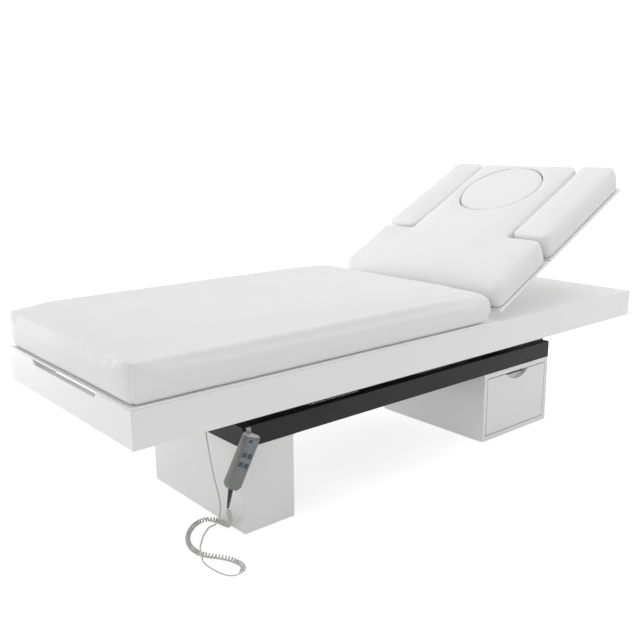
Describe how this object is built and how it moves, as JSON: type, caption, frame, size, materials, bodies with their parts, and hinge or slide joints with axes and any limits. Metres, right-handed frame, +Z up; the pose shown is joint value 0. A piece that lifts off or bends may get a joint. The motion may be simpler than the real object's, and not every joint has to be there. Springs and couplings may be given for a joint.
{
  "type": "spa bed with cabinet base",
  "caption": "Upholstered treatment bed in a white surround, on arms that lift it from a steel frame on two cabinets, with a tilting back, face plug, side pads, drawer and corded handset.",
  "frame": {"origin": "on the floor, under the middle of the white surround", "axes": "+X along the bed towards the head end with the tilting back, -Y to the side with the drawer and the handset, +Z up"},
  "size_m": [2.19, 0.7985, 0.973],
  "materials": {
    "lacquer": "satin white lacquer on board",
    "frame_black": "satin black powder coat",
    "vinyl": "smooth matt white upholstery",
    "steel": "turned and drawn steel",
    "bronze": "plain bearing metal",
    "drawer_board": "satin white board",
    "runner_steel": "zinc-plated steel",
    "drive_case": "fine-grained black plastic",
    "rod_steel": "ground steel",
    "box_plastic": "fine-grained black plastic",
    "glide_plastic": "hard plastic",
    "handset_grey": "fine-grained grey plastic",
    "panel_film": "smooth blue-grey film",
    "key_rubber": "soft matt keys",
    "hook_plastic": "light grey plastic",
    "relief_rubber": "matt ribbed rubber",
    "cord_plastic": "smooth light grey sheath"
  },
  "bodies": {
    "base": {"foot_cabinet": "lacquer", "head_cabinet": "lacquer", "head_cabinet_back": "lacquer", "cabinet_glides": "glide_plastic", "near_rail": "frame_black", "far_rail": "frame_black", "foot_crossbar": "frame_black", "motor_crossbar": "frame_black", "head_crossbar": "frame_black", "base_pivot_brackets": "frame_black", "foot_pivot_shaft": "steel", "head_pivot_shaft": "steel", "control_box": "box_plastic", "cord_gland": "box_plastic", "fixed_runners": "runner_steel", "handset_bracket": "frame_black", "handset_back_shell": "handset_grey", "handset_front_shell": "handset_grey", "handset_key_panel": "panel_film", "handset_hook": "hook_plastic", "strain_relief": "relief_rubber", "cord_tail": "cord_plastic", "cord_curl": "cord_plastic"},
    "foot_arm_pair": {"foot_arms": "frame_black", "foot_arm_bushes": "bronze"},
    "head_arm_pair": {"head_arms": "frame_black", "head_arm_bushes": "bronze"},
    "platform": {"near_panel": "lacquer", "far_panel": "lacquer", "foot_panel": "lacquer", "head_panel": "lacquer", "foot_deck": "lacquer", "head_deck": "lacquer", "platform_tubes": "frame_black", "platform_crossbars": "frame_black", "upper_pivot_brackets": "frame_black", "upper_pivot_pins": "steel", "mattress_board": "lacquer", "mattress": "vinyl", "hinge_brackets": "steel", "backrest_motor_bracket": "frame_black"},
    "backrest": {"backrest_side_tubes": "frame_black", "backrest_crossbars": "frame_black", "backrest_board": "lacquer", "backrest_cushion": "vinyl"},
    "near_side_pad": {"near_pad_board": "lacquer", "near_pad": "vinyl"},
    "far_side_pad": {"far_pad_board": "lacquer", "far_pad": "vinyl"},
    "plug": {"face_plug": "vinyl"},
    "drawer": {"drawer_front": "lacquer", "drawer_box": "drawer_board"},
    "lift_drive": {"lift_motor": "drive_case"},
    "lift_drive_rod": {"lift_rod": "rod_steel"},
    "backrest_drive": {"backrest_motor": "drive_case"},
    "backrest_drive_rod": {"backrest_rod": "rod_steel"},
    "lift_up_key": {"key_lift_up": "key_rubber"},
    "lift_down_key": {"key_lift_down": "key_rubber"},
    "back_up_key": {"key_back_up": "key_rubber"},
    "back_down_key": {"key_back_down": "key_rubber"}
  },
  "joints": [
    {"name": "lift", "type": "hinge", "parent": "base", "child": "foot_arm_pair", "pos_m": [0.02, 0, 0.289], "axis": [0, 1, 0], "range_deg": [0, 35]},
    {"name": "head_arm_swing", "type": "hinge", "parent": "base", "child": "head_arm_pair", "pos_m": [0.64001, 0, 0.289], "axis": [0, 1, 0], "range_deg": [-0.5, 35.5]},
    {"name": "platform_level", "type": "hinge", "parent": "foot_arm_pair", "child": "platform", "pos_m": [-0.37392, 0, 0.35846], "axis": [0, 1, 0], "range_deg": [-35.5, 0.5]},
    {"name": "backrest_tilt", "type": "hinge", "parent": "platform", "child": "backrest", "pos_m": [0.24199, 0, 0.533], "axis": [0, -1, 0], "range_deg": [-27.7, 27.3]},
    {"name": "near_pad_slide", "type": "slide", "parent": "backrest", "child": "near_side_pad", "axis": [0, -1, 0], "range_m": [0, 0.11]},
    {"name": "far_pad_slide", "type": "slide", "parent": "backrest", "child": "far_side_pad", "axis": [0, 1, 0], "range_m": [0, 0.11]},
    {"name": "face_plug_lift", "type": "slide", "parent": "backrest", "child": "plug", "axis": [-0.4648, 0, 0.8854], "range_m": [0, 0.13]},
    {"name": "drawer_slide", "type": "slide", "parent": "base", "child": "drawer", "axis": [0, -1, 0], "range_m": [0, 0.35]},
    {"name": "lift_drive_tilt", "type": "hinge", "parent": "base", "child": "lift_drive", "pos_m": [-0.49998, 0, 0.289], "axis": [0, -1, 0], "range_deg": [-0.1, 1]},
    {"name": "lift_rod_slide", "type": "slide", "parent": "lift_drive", "child": "lift_drive_rod", "axis": [0.9838, 0, 0.1791], "range_m": [-0.001, 0.0605]},
    {"name": "backrest_drive_tilt", "type": "hinge", "parent": "platform", "child": "backrest_drive", "pos_m": [0.23327, 0, 0.33319], "axis": [0, -1, 0], "range_deg": [-14.1, 13.9]},
    {"name": "backrest_rod_slide", "type": "slide", "parent": "backrest_drive", "child": "backrest_drive_rod", "axis": [0.6246, 0, 0.781], "range_m": [-0.0575, 0.0565]},
    {"name": "lift_up_press", "type": "slide", "parent": "base", "child": "lift_up_key", "axis": [0, 1, 0], "range_m": [0, 0.001], "stiffness_N_per_m": 600, "springref_m": -0.002},
    {"name": "lift_down_press", "type": "slide", "parent": "base", "child": "lift_down_key", "axis": [0, 1, 0], "range_m": [0, 0.001], "stiffness_N_per_m": 600, "springref_m": -0.002},
    {"name": "back_up_press", "type": "slide", "parent": "base", "child": "back_up_key", "axis": [0, 1, 0], "range_m": [0, 0.001], "stiffness_N_per_m": 600, "springref_m": -0.002},
    {"name": "back_down_press", "type": "slide", "parent": "base", "child": "back_down_key", "axis": [0, 1, 0], "range_m": [0, 0.001], "stiffness_N_per_m": 600, "springref_m": -0.002}
  ],
  "couplings": [
    {"joint": "head_arm_swing", "follows": "lift", "ratio": 1},
    {"joint": "platform_level", "follows": "lift", "ratio": -1},
    {"joint": "lift_drive_tilt", "follows": "lift", "ratio": 0.024138},
    {"joint": "lift_rod_slide", "follows": "lift", "m_per_rad": 0.097712},
    {"joint": "backrest_drive_tilt", "follows": "backrest_tilt", "ratio": 0.5},
    {"joint": "backrest_rod_slide", "follows": "backrest_tilt", "m_per_rad": 0.11713}
  ]
}
